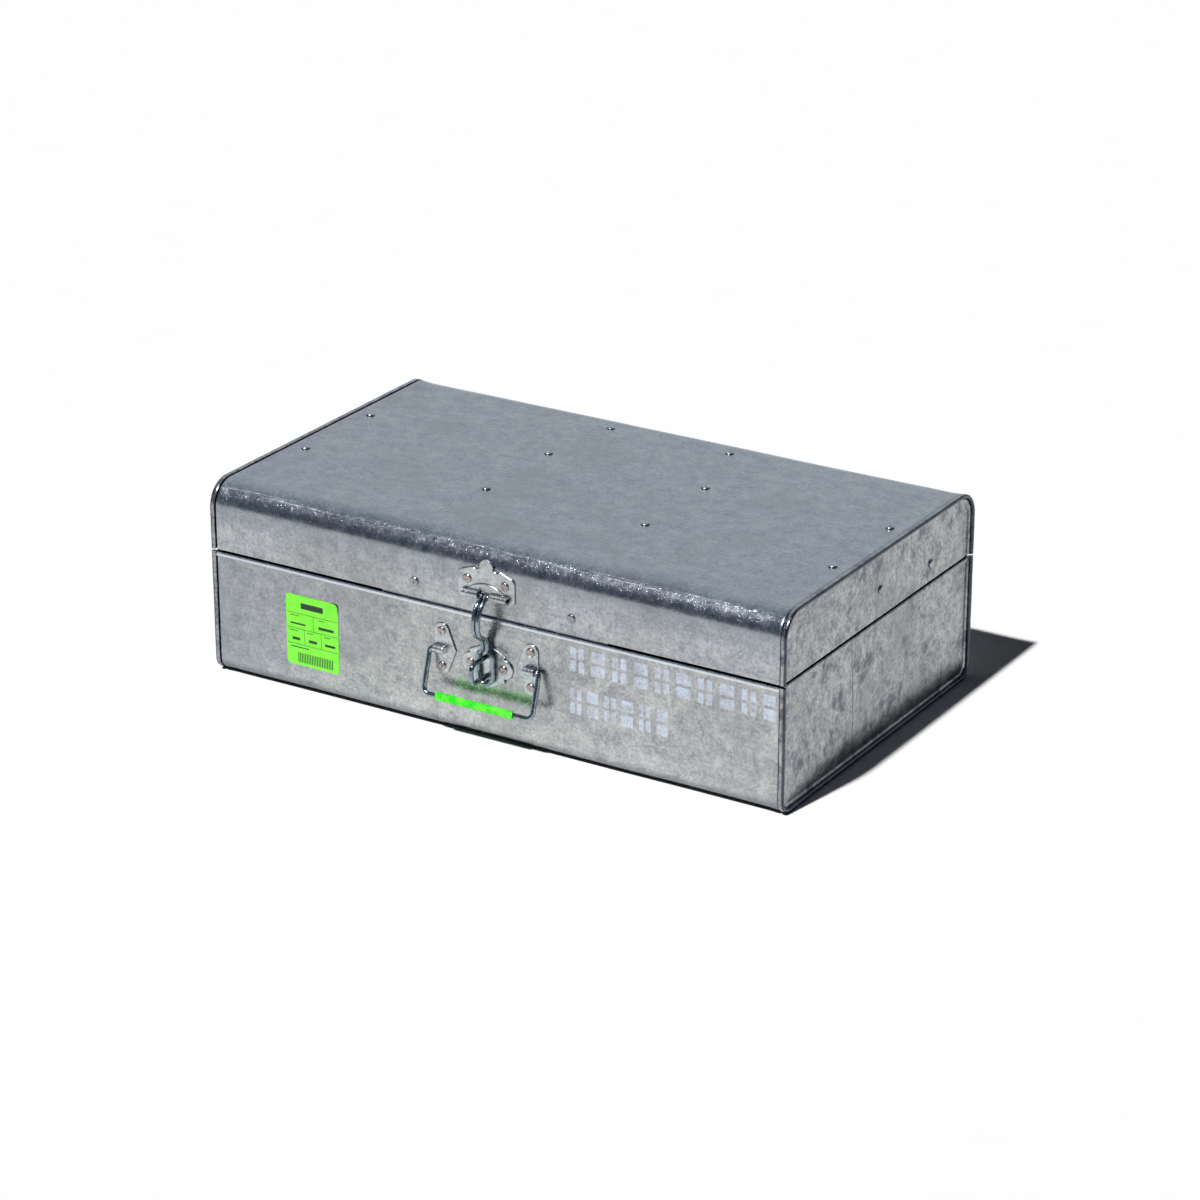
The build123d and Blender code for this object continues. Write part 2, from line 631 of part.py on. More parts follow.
write("hasp", half_hasp + mirrored(half_hasp, hardware_x))

# ---- Staple plate and staple: the legs pass through plate and wall and are turned over inside ----
half_outline = [
    (0, staple_plate_point),
    (staple_plate_shoulder_x, staple_plate_shoulder_z),
    (staple_plate_notch_x, staple_plate_notch_z),
    (staple_plate_notch_x, -staple_plate_notch_z),
    (staple_plate_shoulder_x, -staple_plate_shoulder_z),
    (0, -staple_plate_point),
]
other_half = [(-x, z) for x, z in reversed(half_outline[1:-1])]
plate_sketch = make_face(Polyline(half_outline + other_half, close=True))
for side in (-1, 1):
    plate_sketch = plate_sketch + Pos(side * staple_plate_rivet_spacing / 2, 0) * Circle(staple_plate_lobe)
staple_plate = on_front(Pos(hardware_x, staple_height) * plate_sketch, fitting_sheet)
staple_plate = soften_front(staple_plate, fitting_rounding)
staple_plate = staple_plate - holes(staple_plate_places) - holes(staple_leg_places, leg_hole)
write("staple_plate", staple_plate)
write("staple_plate_rivets", rivets(staple_plate_places, fitting_sheet + sheet))
leg_z = staple_height + staple_pitch / 2
bar_y = front_y - staple_reach
bend_y = bar_y + staple_bend
inner_y = front_y + sheet
tail_y = inner_y + staple_tail_bend
tail_z = leg_z + staple_tail_bend
x = hardware_x
half_staple = bent_wire(
    [
        Line((x, bar_y, staple_height), (x, bar_y, leg_z - staple_bend)),
        bend((x, bar_y, leg_z - staple_bend), (x, bend_y, leg_z - staple_bend), (x, bend_y, leg_z)),
        Line((x, bend_y, leg_z), (x, inner_y, leg_z)),
        bend((x, inner_y, leg_z), (x, inner_y, tail_z), (x, tail_y, tail_z)),
        Line((x, tail_y, tail_z), (x, tail_y, tail_z + staple_tail)),
    ],
    staple_wire,
)
staple_plane = Plane(origin=(0, 0, staple_height), z_dir=(0, 0, 1))
write("staple", half_staple + mirror(half_staple, about=staple_plane))

# ---- Handle plates: a pressed strap in each holds one end of the handle's wire ----
arm_x = handle_span / 2
elbow_x = arm_x - handle_pin_bend
pin_end_x = elbow_x - handle_pin_length
strap_bore = handle_wire / 2 + handle_clearance
strap_radius = strap_bore + handle_plate_sheet
pivot_off = handle_plate_sheet + handle_gap + handle_wire / 2
pivot_y = front_y - pivot_off
strap_open_x = elbow_x - handle_gap
strap_closed_x = pin_end_x - handle_gap


def strap_body(radius, x0, x1):
    """Half-round ridge over the pin, its sides straight back to the wall."""
    round_part = Pos((x0 + x1) / 2, pivot_y, handle_pivot_height) * RIGHT * Cylinder(radius, x1 - x0)
    sides = block(x0, x1, pivot_y, front_y, handle_pivot_height - radius, handle_pivot_height + radius)
    return round_part + sides


plate_circles = [
    Pos(handle_rivet_x, handle_pivot_height + lobe_z) * Circle(handle_plate_lobe),
    Pos(handle_rivet_x, handle_pivot_height - lobe_z) * Circle(handle_plate_lobe),
    Pos(handle_rivet_x - handle_plate_point, handle_pivot_height) * Circle(handle_plate_point_rounding),
]
plate_sketch = make_hull([edge for circle in plate_circles for edge in circle.edges()])
right_plate = soften_front(on_front(plate_sketch, handle_plate_sheet), handle_plate_rounding)
ridge = strap_body(strap_radius, strap_closed_x - handle_plate_sheet, strap_open_x)
closed_face = ridge.faces().sort_by(Axis.X)[0]
ridge = fillet(closed_face.edges().filter_by(Axis.Z, reverse=True), strap_end_rounding)
right_plate = right_plate + ridge - strap_body(strap_bore, strap_closed_x, strap_open_x)
right_plate = Pos(handle_x, 0, 0) * right_plate
write("handle_right_plate", right_plate - holes(handle_plate_places))
write("handle_left_plate", mirrored(right_plate, handle_x) - holes(handle_plate_places))
write("handle_plate_rivets", rivets(handle_plate_places, handle_plate_sheet + sheet))

# ---- Handle: bent wire with a length of soft tube on it, leaning out as it rests ----
at_rest = Pos(handle_x, pivot_y, handle_pivot_height) * Rot(-handle_lean, 0, 0)
corner_z = handle_corner_bend - handle_drop
corner_x = arm_x - handle_corner_bend
half_bail = bent_wire(
    [
        Line((pin_end_x, 0, 0), (elbow_x, 0, 0)),
        bend((elbow_x, 0, 0), (elbow_x, 0, -handle_pin_bend), (arm_x, 0, -handle_pin_bend)),
        Line((arm_x, 0, -handle_pin_bend), (arm_x, 0, corner_z)),
        bend((arm_x, 0, corner_z), (corner_x, 0, corner_z), (corner_x, 0, -handle_drop)),
        Line((corner_x, 0, -handle_drop), (0, 0, -handle_drop)),
    ],
    handle_wire,
)
write("handle_bail", at_rest * (half_bail + mirrored(half_bail)))
tube_length = grip_length + grip_diameter * tan(radians(grip_slant))
tube = Cylinder(grip_diameter / 2, tube_length) - Cylinder(handle_wire / 2 + grip_clearance, tube_length)
tube = RIGHT * tube
for side in (-1, 1):
    slanted = Pos(side * grip_length / 2, 0, 0) * Rot(0, 0, grip_slant)
    tube = tube - slanted * Pos(side * cut, 0, 0) * Box(2 * cut, 2 * cut, 2 * cut)
write("handle_grip", at_rest * Pos(grip_offset, 0, -handle_drop) * tube)

# ---- Sticker on the front ----
label_face = fillet(Rectangle(label_width, label_tall).vertices(), label_corner)
label_place = Pos(label_inset - half_length, base_height - label_drop)
write("label", on_front(label_place * label_face, label_thickness))
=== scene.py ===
from math import cos, pi, radians, sin, sqrt, tan

import bmesh
import bpy
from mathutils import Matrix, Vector, noise


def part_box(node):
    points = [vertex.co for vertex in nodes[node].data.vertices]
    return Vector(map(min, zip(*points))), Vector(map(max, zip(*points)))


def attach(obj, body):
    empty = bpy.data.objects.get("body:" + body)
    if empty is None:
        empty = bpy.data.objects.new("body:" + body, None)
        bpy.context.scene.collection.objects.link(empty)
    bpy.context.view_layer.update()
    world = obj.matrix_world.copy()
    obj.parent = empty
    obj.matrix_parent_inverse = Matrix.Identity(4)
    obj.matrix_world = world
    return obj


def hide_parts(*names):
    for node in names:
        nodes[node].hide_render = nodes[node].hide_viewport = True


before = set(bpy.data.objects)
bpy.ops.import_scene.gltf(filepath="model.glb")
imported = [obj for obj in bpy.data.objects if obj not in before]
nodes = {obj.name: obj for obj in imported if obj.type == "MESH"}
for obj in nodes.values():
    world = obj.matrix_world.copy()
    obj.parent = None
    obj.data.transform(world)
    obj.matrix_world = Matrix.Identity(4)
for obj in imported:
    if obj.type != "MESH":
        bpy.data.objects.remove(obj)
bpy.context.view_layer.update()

# ---- Base sheet ----
# One galvanised steel sheet, 0.6 mm thick, bent up into the front, bottom and back. Years of use have left
# it slightly dented, and its top edges are folded outwards into a hem.
front = -109.775
back = 124.225
half_length = 200.0
sheet = 0.6
base_top = 80.0
base_bottom = 0.9
base_corner = 9.0
base_dent = 0.34
hem_half = 196.3
hinge_at = 42.9
hinge_room = 14.4


def colour(code):
    """A colour written as sRGB hex, as linear light."""
    parts = [int(code[i:i + 2], 16) / 255 for i in (1, 3, 5)]
    return [p / 12.92 if p <= 0.04045 else ((p + 0.055) / 1.055) ** 2.4 for p in parts] + [1.0]


def add(tree, kind, links, **settings):
    """Add a node, set its properties, and fill its inputs with values or with other nodes' outputs."""
    made = tree.nodes.new(kind)
    for name, value in settings.items():
        setattr(made, name, value)
    for socket, value in links.items():
        if isinstance(value, bpy.types.NodeSocket):
            tree.links.new(value, made.inputs[socket])
        else:
            made.inputs[socket].default_value = value
    return made


def new_material(name):
    """An empty material with its shader, and the place on the piece in millimetres."""
    material = bpy.data.materials.new(name)
    material.use_nodes = True
    tree = material.node_tree
    tree.nodes.clear()
    shader = tree.nodes.new("ShaderNodeBsdfPrincipled")
    output = tree.nodes.new("ShaderNodeOutputMaterial")
    tree.links.new(shader.outputs[0], output.inputs[0])
    place = add(tree, "ShaderNodeTexCoord", {}).outputs["Object"]
    mm = add(tree, "ShaderNodeVectorMath", {0: place, 3: 1000.0}, operation="SCALE", name="place_in_mm").outputs[0]
    return material, tree, shader, mm


def scratched(tree, mm, turn, share):
    """Fine scratches about 0.4 mm wide and 60 mm long, all lying one way: 1 in a scratch, 0 beside it."""
    turned = add(tree, "ShaderNodeMapping", {0: mm, 2: turn}).outputs[0]
    drawn = add(tree, "ShaderNodeVectorMath", {0: turned, 1: (0.016, 1.5, 1.5)}, operation="MULTIPLY").outputs[0]
    lines = add(tree, "ShaderNodeTexNoise", {"Vector": drawn, "Scale": 1.0, "Detail": 1.0}).outputs[0]
    return add(tree, "ShaderNodeMapRange", {0: lines, 1: share, 2: share + 0.05}).outputs[0]


def covered(tree, share, tint):
    """Lay a tint over a material's colour, as far as share says."""
    shader = tree.nodes["Principled BSDF"]
    under = shader.inputs["Base Color"].links[0].from_socket
    skin = add(tree, "ShaderNodeMix", {0: share, 6: under, 7: colour(tint)}, data_type="RGBA").outputs[2]
    tree.links.new(skin, shader.inputs["Base Color"])


def galvanised(
    name, light, dark, cloud, streak_axis, roughness, scratches, depth=1.0, stains=0.0, streaky=0.12, shade_reach=2.5
):
    """Galvanised steel: mottled zinc, rolled streaks, old clouding, stains, scratches, and painted shade in the
    corners.

    light, dark and cloud are the zinc's tones, depth is their contrast and streaky the share of the streaks.
    The last argument says how many millimetres the painted shade reaches out of a corner. The zinc's own crystals
    are finer than a pixel, so its grain is drawn 2.2 mm across.
    """
    material, tree, shader, mm = new_material(name)
    stretch = [1.4, 1.4, 1.4]
    stretch[streak_axis] = 0.05
    lay = add(tree, "ShaderNodeVectorMath", {0: mm, 1: stretch}, operation="MULTIPLY").outputs[0]
    patterns = [
        (lay, 0.7, 4.0, 0.65),
        (mm, 1 / 9, 9.0, 0.78),
        (mm, 1 / 2.2, 4.0, 0.75),
        (mm, 1 / 60, 5.0, 0.6),
        (mm, 1 / 17, 8.0, 0.72),
    ]
    fields = []
    for where, scale, detail, fine in patterns:
        pattern = {"Vector": where, "Scale": scale, "Detail": detail, "Roughness": fine}
        fields.append(add(tree, "ShaderNodeTexNoise", pattern).outputs[0])
    streaks, blotch, grain, cloudy, spot = fields
    tone = 0.0
    for field, weight in ((blotch, 0.6 - streaky), (streaks, streaky), (grain, 0.40)):
        tone = add(tree, "ShaderNodeMath", {0: field, 1: weight, 2: tone}, operation="MULTIPLY_ADD").outputs[0]
    half = 0.12 / depth
    tone = add(tree, "ShaderNodeMapRange", {0: tone, 1: 0.5 - half, 2: 0.5 + half}).outputs[0]
    skin = add(tree, "ShaderNodeMix", {0: tone, 6: colour(dark), 7: colour(light)}, data_type="RGBA").outputs[2]
    tree.links.new(skin, shader.inputs["Base Color"])
    covered(tree, add(tree, "ShaderNodeMapRange", {0: cloudy, 1: 0.50, 2: 0.72, 4: 0.55}).outputs[0], cloud)
    stained = 0.6 - 0.08 * stains
    spot = add(tree, "ShaderNodeMapRange", {0: spot, 1: stained, 2: stained + 0.1, 4: stains}).outputs[0]
    covered(tree, spot, "#4E535C")
    uneven = {0: blotch, 1: 0.3, 2: 0.7, 3: roughness - 0.05, 4: roughness + 0.06}
    rough = add(tree, "ShaderNodeMapRange", uneven).outputs[0]
    rough = add(tree, "ShaderNodeMath", {0: grain, 1: 0.16, 2: rough}, operation="MULTIPLY_ADD").outputs[0]
    rough = add(tree, "ShaderNodeMath", {0: rough, 1: 0.08}, operation="SUBTRACT").outputs[0]
    tree.links.new(rough, shader.inputs["Roughness"])
    crystals = add(tree, "ShaderNodeTexVoronoi", {"Vector": mm, "Scale": 1 / 1.3}).outputs["Color"]
    facet = add(tree, "ShaderNodeSeparateColor", {0: crystals}).outputs[0]
    wavy = add(tree, "ShaderNodeTexNoise", {"Vector": mm, "Scale": 1 / 20, "Detail": 2.0}).outputs[0]
    relief = add(tree, "ShaderNodeBump", {"Height": wavy, "Strength": 0.7, "Distance": 0.0003}).outputs[0]
    bumps = [(blotch, 0.45, 0.0001), (facet, 0.6, 0.00003), (streaks, 0.4, 0.00003)]
    for turn, share, tint in scratches:
        line = scratched(tree, mm, turn, share)
        bumps.append((line, 0.5, -0.00004))
        covered(tree, add(tree, "ShaderNodeMath", {0: line, 1: 0.55}, operation="MULTIPLY").outputs[0], tint)
    for height, strength, deep in bumps:
        bump = {"Height": height, "Strength": strength, "Distance": deep, "Normal": relief}
        relief = add(tree, "ShaderNodeBump", bump).outputs[0]
    tree.links.new(relief, shader.inputs["Normal"])
    # Painted shade: ambient occlusion darkens the colour in corners, creases and round fittings.
    corner_shade = add(tree, "ShaderNodeAmbientOcclusion", {"Distance": shade_reach / 1000}, samples=6).outputs["AO"]
    corner_shade = add(tree, "ShaderNodeMapRange", {0: corner_shade, 1: 0.3, 2: 0.82, 3: 0.95, 4: 0.0}).outputs[0]
    covered(tree, corner_shade, "#1C2028")
    shader.inputs["Metallic"].default_value = 1.0
    return material


def surface(name, points, faces, material, body, slot, stands_for):
    """A closed piece from points in millimetres; it rides on a body and stands for CAD nodes."""
    mesh = bpy.data.meshes.new(name)
    mesh.from_pydata([(x / 1000, y / 1000, z / 1000) for x, y, z in points], [], faces)
    work = bmesh.new()
    work.from_mesh(mesh)
    bmesh.ops.recalc_face_normals(work, faces=work.faces)
    work.to_mesh(mesh)
    work.free()
    mesh.polygons.foreach_set("use_smooth", [True] * len(mesh.polygons))
    mesh.set_sharp_from_angle(angle=radians(38))
    mesh.materials.append(material)
    made = bpy.data.objects.new(name, mesh)
    bpy.context.scene.collection.objects.link(made)
    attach(made, body)
    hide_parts(*stands_for)
    return made


def spread(low, high, step):
    """Even places from low to high, about a step apart."""
    count = max(1, round(abs(high - low) / step))
    return [low + (high - low) * i / count for i in range(count + 1)]


def sheet_path(open_z, closed_z, radius):
    """Across the trunk, round the outside of a bent sheet: places (y, z) with outward directions."""
    up = 1 if closed_z > open_z else -1
    turn = closed_z - up * radius
    wall = spread(open_z, turn, 4)[:-1]
    arc = [(cos(radians(a)), up * sin(radians(a))) for a in spread(0, 90, 6)]
    path = [((front, z), (-1.0, 0.0)) for z in wall]
    path += [((front + radius * (1 - c), turn + radius * s), (-c, s)) for c, s in arc]
    path += [((y, closed_z), (0.0, float(up))) for y in spread(front + radius, back - radius, 4)[1:-1]]
    path += [((back - radius * (1 - c), turn + radius * s), (c, s)) for c, s in reversed(arc)]
    path += [((back, z), (1.0, 0.0)) for z in reversed(wall)]
    return path


def ease(value, low, high):
    """0 at or below low, 1 at or above high, smooth between."""
    t = min(1.0, max(0.0, (value - low) / (high - low)))
    return t * t * (3 - 2 * t)


def gripped(x):
    """How the end rims hold a sheet: a small flare beside the fold, then down into a crease under it."""
    inward = half_length - abs(x)
    flare = 0.42 * ease(inward, 3.6, 4.8) * (1 - ease(inward, 5.0, 13.0))
    return flare - 0.75 * (1 - ease(inward, 3.2, 4.1)) * ease(inward, 2.0, 2.6)


def rumple(x, y, z, size, seed):
    """Smooth uneven height from -1 to 1, with bumps about one size across."""
    return noise.noise(Vector((x / size + seed, y / size - seed, z / size + 2 * seed)))


def two_skins(outer, inner, rows, columns):
    """Points and faces of a plate from its two skins, each a grid, closed round its edges."""
    faces = []
    count = rows * columns
    for i in range(rows - 1):
        for j in range(columns - 1):
            a = i * columns + j
            faces.append((a, a + 1, a + columns + 1, a + columns))
            faces.append((a + count, a + columns + count, a + columns + 1 + count, a + 1 + count))
    rim = [j for j in range(columns)]
    rim += [i * columns + columns - 1 for i in range(1, rows)]
    rim += [(rows - 1) * columns + j for j in range(columns - 2, -1, -1)]
    rim += [i * columns for i in range(rows - 2, 0, -1)]
    for a, b in zip(rim, rim[1:] + rim[:1]):
        faces.append((a, b, b + count, a + count))
    return outer + inner, faces


def bent_sheet(path, xs, dent):
    """A bent sheet along the trunk, its dents pushed in or out by dent(x, y, z)."""
    outer = []
    inner = []
    for x in xs:
        for (y, z), (out_y, out_z) in path:
            push = dent(x, y, z)
            outer.append((x, y + out_y * push, z + out_z * push))
            inner.append((x, y + out_y * (push - sheet), z + out_z * (push - sheet)))
    return two_skins(outer, inner, len(xs), len(path))


def rod_of_section(section, places):
    """A closed section carried through places; place(out, along) gives a point of it. Ends are capped."""
    points = []
    faces = []
    size = len(section)
    for place in places:
        points += [place(a, b) for a, b in section]
    for i in range(len(places) - 1):
        for j in range(size):
            a = i * size + j
            b = i * size + (j + 1) % size
            faces.append((a, b, b + size, a + size))
    faces.append(tuple(range(size)))
    faces.append(tuple(range(len(points) - size, len(points))))
    return points, faces


def join(parts):
    """Several sets of points and faces as one."""
    points = []
    faces = []
    for more, their_faces in parts:
        faces += [tuple(i + len(points) for i in face) for face in their_faces]
        points += more
    return points, faces


def base_push(x, y, z):
    """Dents of the base sheet: none at the hem, the rims and the fittings, which hold it flat."""
    free = ease(half_length - abs(x), 4, 22) * (1 - ease(z, 62, 74))
    if y < front + 1:
        free *= ease(max(abs(x) - 44, abs(z - 51) - 22), -4, 16)
        free *= ease(max(abs(x + 126) - 19, abs(z - 41) - 23), -2, 8)
    return gripped(x) + free * (base_dent * rumple(x, y, z, 62, 3.1) + 0.1 * rumple(x, y, z, 21, 7.7))


def hem(edge_y, out, x0, x1):
    """The folded edge: a flat drop-shaped fold, 2.8 mm tall, its bend uppermost."""
    fold = [(0.0, -2.8), (0.42, -2.75), (0.62, -2.3), (0.64, -1.5), (0.52, -0.7), (0.25, -0.15)]
    fold += [(-0.15, 0.0), (-0.5, -0.12), (-0.6, -0.5), (-0.6, -1.2), (0.0, -1.2)]

    def place_at(x):
        wave = 0.07 * rumple(x, edge_y, 0, 17, 1.3)
        return lambda a, b: (x, edge_y + out * (a + wave * (a > 0.3)), base_top + b + wave * (b < -2))
    return rod_of_section(fold, [place_at(x) for x in spread(x0, x1, 5)])


# Old zinc on the outside: a soft grey sheen with a faint warm and cool mottle, bright and dark hair scratches.
base_scratches = [((0, 0.7, 0), 0.71, "#D8DADC"), ((0, -1.1, 0), 0.71, "#6E7278"), ((0, 0.2, 0), 0.72, "#7A7E84")]
base_zinc = galvanised(
    "galvanised_steel_rolled_base", "#C8C8C6", "#8A8E93", "#8D8F93", 0, 0.25, base_scratches, depth=1.3, stains=0.35
)

# The two painted rows: from and to along the front, from and to in height, and from block to block.
stencil_rows = [(57.0, 194.0, 58.5, 74.0, 14.3), (57.0, 125.0, 32.0, 48.0, 11.7)]


def stencilled(material):
    """Worn pale paint sprayed through a stencil of plain blocks: it covers the metal's shine, so it looks chalky."""
    tree = material.node_tree
    mm = tree.nodes["place_in_mm"].outputs[0]
    x, y, z = add(tree, "ShaderNodeSeparateXYZ", {0: mm}).outputs
    paint = 0.0
    for x0, x1, z0, z1, pitch in stencil_rows:
        middle = (z0 + z1) / 2
        cell = add(tree, "ShaderNodeMath", {0: x, 1: -x0}, operation="ADD").outputs[0]
        cell = add(tree, "ShaderNodeMath", {0: cell, 1: pitch}, operation="DIVIDE").outputs[0]
        pair = add(tree, "ShaderNodeMath", {0: cell, 1: 2.0}, operation="DIVIDE").outputs[0]
        cell = add(tree, "ShaderNodeMath", {0: cell}, operation="FRACT").outputs[0]
        pair = add(tree, "ShaderNodeMath", {0: pair}, operation="FRACT").outputs[0]
        bridge = add(tree, "ShaderNodeMath", {0: z, 1: middle, 2: 1.0}, operation="COMPARE").outputs[0]
        split = add(tree, "ShaderNodeMath", {0: pair, 1: 0.18, 2: 0.035}, operation="COMPARE").outputs[0]
        gaps = add(tree, "ShaderNodeMath", {0: bridge, 1: split}, operation="MAXIMUM").outputs[0]
        solid = add(tree, "ShaderNodeMath", {0: cell, 1: 0.36, 2: 0.33}, operation="COMPARE").outputs[0]
        solid = add(tree, "ShaderNodeMath", {0: solid, 1: gaps}, operation="SUBTRACT", use_clamp=True).outputs[0]
        for value, low, high in ((z, z0, z1), (x, x0, x1)):
            zone = {0: value, 1: (low + high) / 2, 2: (high - low) / 2}
            zone = add(tree, "ShaderNodeMath", zone, operation="COMPARE").outputs[0]
            solid = add(tree, "ShaderNodeMath", {0: solid, 1: zone}, operation="MULTIPLY").outputs[0]
        paint = add(tree, "ShaderNodeMath", {0: paint, 1: solid}, operation="MAXIMUM").outputs[0]
    facing = add(tree, "ShaderNodeMath", {0: y, 1: front + 0.4}, operation="LESS_THAN").outputs[0]
    patches = {"Vector": mm, "Scale": 1 / 8, "Detail": 8.0, "Roughness": 0.75}
    worn = add(tree, "ShaderNodeTexNoise", patches).outputs[0]
    worn = add(tree, "ShaderNodeMapRange", {0: worn, 1: 0.36, 2: 0.62, 3: 0.9, 4: 0.2}).outputs[0]
    for share in (facing, worn):
        paint = add(tree, "ShaderNodeMath", {0: paint, 1: share}, operation="MULTIPLY").outputs[0]
    covered(tree, paint, "#C6D3E8")
    bare = add(tree, "ShaderNodeMath", {0: 1.0, 1: paint}, operation="SUBTRACT").outputs[0]
    tree.links.new(bare, tree.nodes["Principled BSDF"].inputs["Metallic"])


def shaded(material, axis, start, end, tint, share, both_ends=False):
    """A slow change of tone along an axis, from none at the start to the share at the end."""
    tree = material.node_tree
    place = add(tree, "ShaderNodeSeparateXYZ", {0: tree.nodes["place_in_mm"].outputs[0]}).outputs[axis]
    if both_ends:
        place = add(tree, "ShaderNodeMath", {0: place}, operation="ABSOLUTE").outputs[0]
    place = add(tree, "ShaderNodeMapRange", {0: place, 1: start, 2: end, 4: share}).outputs[0]
    covered(tree, place, tint)


stencilled(base_zinc)
# The zinc turns blue-grey towards the left; painted shade darkens the bottom bend, and a painted highlight brightens
# the hem.
shaded(base_zinc, 0, -60.0, -200.0, "#7D8896", 0.42)
shaded(base_zinc, 2, 9.5, 2.5, "#343A44", 0.85)
shaded(base_zinc, 2, 77.3, 77.9, "#E8F0FA", 0.6)

# The sheet's steps along the trunk, close together beside the rims, where it dips under the fold.
rim_steps = [0.8, 2.4, 2.95, 3.3, 3.65, 4.1, 4.7, 5.6, 7.0, 9.0, 11.5]
sheet_xs = [s - half_length for s in rim_steps]
sheet_xs += spread(-185, 185, 4)
sheet_xs += [half_length - s for s in reversed(rim_steps)]
hinge_inner = hinge_at - hinge_room
hinge_outer = hinge_at + hinge_room
base_path = sheet_path(base_top - 0.3, base_bottom, base_corner)
base_parts = [bent_sheet(base_path, sheet_xs, base_push), hem(front, -1, -hem_half, hem_half)]
for x0, x1 in ((-hem_half, -hinge_outer), (-hinge_inner, hinge_inner), (hinge_outer, hem_half)):
    base_parts.append(hem(back, 1, x0, x1))
surface("base_sheet", *join(base_parts), base_zinc, "base", "galvanised_sheet", ["base_body"])

# ---- Ends of the base ----
# Each end is a separate galvanised panel set 2.4 mm deep. Its edge is folded round the body sheet and hammered
# down into a proud rim, a little uneven along its length. Stained, scraped zinc, with painted shade in the folds.
rim_fold = [(-3.2, -0.1), (-3.25, 0.35), (-3.05, 0.75), (-2.5, 0.9), (-1.2, 0.88), (-0.45, 0.74), (-0.1, 0.4)]
rim_fold += [(0.0, -0.3), (-0.08, -0.95), (-0.4, -1.36), (-0.9, -1.5), (-2.1, -1.5), (-2.7, -1.42)]
rim_fold += [(-2.7, -0.7), (-0.9, -0.7), (-0.9, -0.1)]
panel_depth = 2.4
panel_fillet = 1.6
end_dent = 0.55


def end_panel(side, open_z, closed_z, radius, seed):
    """Recessed end panel: pressed flat in the middle, curling up to the rim at its edge."""
    up = 1 if closed_z > open_z else -1
    edge = closed_z - up * 1.0
    r = radius - 1.0
    turn = edge - up * r
    steps = [0.0, 0.3, 0.6, 0.9, 1.1, 1.35, 1.7, 2.1, 2.7, 3.5, 4.7, 6.3, 8.3]
    tall = abs(open_z - edge)
    zs = [edge - up * s for s in steps] + [edge - up * s for s in spread(11, tall, 4)]
    y0 = front + 1.0
    y1 = back - 1.0
    across = [s / (y1 - y0) for s in steps] + spread(12 / (y1 - y0), 1 - 12 / (y1 - y0), 4 / (y1 - y0))
    across += [1 - s / (y1 - y0) for s in reversed(steps)]
    outer = []
    inner = []
    for z in zs:
        beyond = max(0.0, up * (z - turn))
        inset = r - sqrt(max(0.0, r * r - beyond * beyond))
        for share in across:
            y = y0 + inset + share * (y1 - y0 - 2 * inset)
            margin = min(y - y0, y1 - y, abs(z - edge))
            corner = min(y - y0, y1 - y)
            if beyond > 0 and corner < r:
                margin = r - sqrt((r - corner) ** 2 + beyond * beyond)
            lift = panel_fillet - (margin - 1.1)
            curl = panel_fillet - sqrt(max(0.0, panel_fillet ** 2 - lift * lift)) if 0 < lift < panel_fillet else 0.0
            curl -= 0.5 * (1 - ease(margin, 0.9, 1.5)) - (0.6 if lift >= panel_fillet else 0.0)
            push = ease(margin, 1, 12) * ease(abs(z - open_z), 1, 16) if up < 0 else 0.35 * ease(margin, 1, 12)
            push *= end_dent * rumple(side * 40, y, z, 44, seed) + 0.14 * rumple(side * 40, y, z, 15, seed)
            x = half_length - panel_depth + curl + push
            outer.append((side * x, y, z))
            inner.append((side * (x - sheet), y, z))
    return two_skins(outer, inner, len(zs), len(across))


def end_rim(side, open_z, closed_z, radius, seed):
    """The folded rim round an end."""

    def place_at(index, y, z, out_y, out_z):
        wave = 0.11 * rumple(index * 4.0, side * 9, 0, 11, seed)
        return lambda a, b: (
            side * (half_length + a + 0.6 * wave * (a > -3)),
            y + out_y * (b + wave * (b > 0)),
            z + out_z * (b + wave * (b > 0)),
        )
    path = sheet_path(open_z, closed_z, radius)
    return rod_of_section(rim_fold, [place_at(i, *p, *out) for i, (p, out) in enumerate(path)])


def end_hem(side):
    """Folded top edge of a base end, between the rims."""
    fold = [(0.0, -2.8), (0.4, -2.7), (0.6, -2.2), (0.6, -0.9), (0.45, -0.3)]
    fold += [(0.1, 0.0), (-0.4, 0.0), (-0.6, -0.3), (-0.6, -1.2), (0.0, -1.2)]

    def place_at(y):
        wave = 0.08 * rumple(side * 7, y, 0, 15, 4.4)
        return lambda a, b: (side * (half_length - panel_depth + a + wave * (a > 0.3)), y, base_top + b)
    return rod_of_section(fold, [place_at(y) for y in spread(front + 1.5, back - 1.5, 5)])


# Stained zinc: blotched light and dark, with long scrapes; the rims' faces get a painted dark blue-grey shade.
quarter_turn = 1.5708
end_scratches = [
    ((0.9, 0, quarter_turn), 0.69, "#5F646C"),
    ((-0.5, 0, quarter_turn), 0.70, "#D0D2D4"),
    ((0.1, 0, quarter_turn), 0.71, "#6A6F77"),
]
end_zinc = galvanised(
    "galvanised_steel_stained_end", "#B6B7B8", "#6C7077", "#77797E", 2, 0.22, end_scratches,
    depth=1.5, stains=0.9, streaky=0.05, shade_reach=4.0,
)
# Painted shade and reflection: the rims' outer faces at both ends turned dark blue-grey.
shaded(end_zinc, 0, 198.5, 199.2, "#333A47", 0.85, both_ends=True)


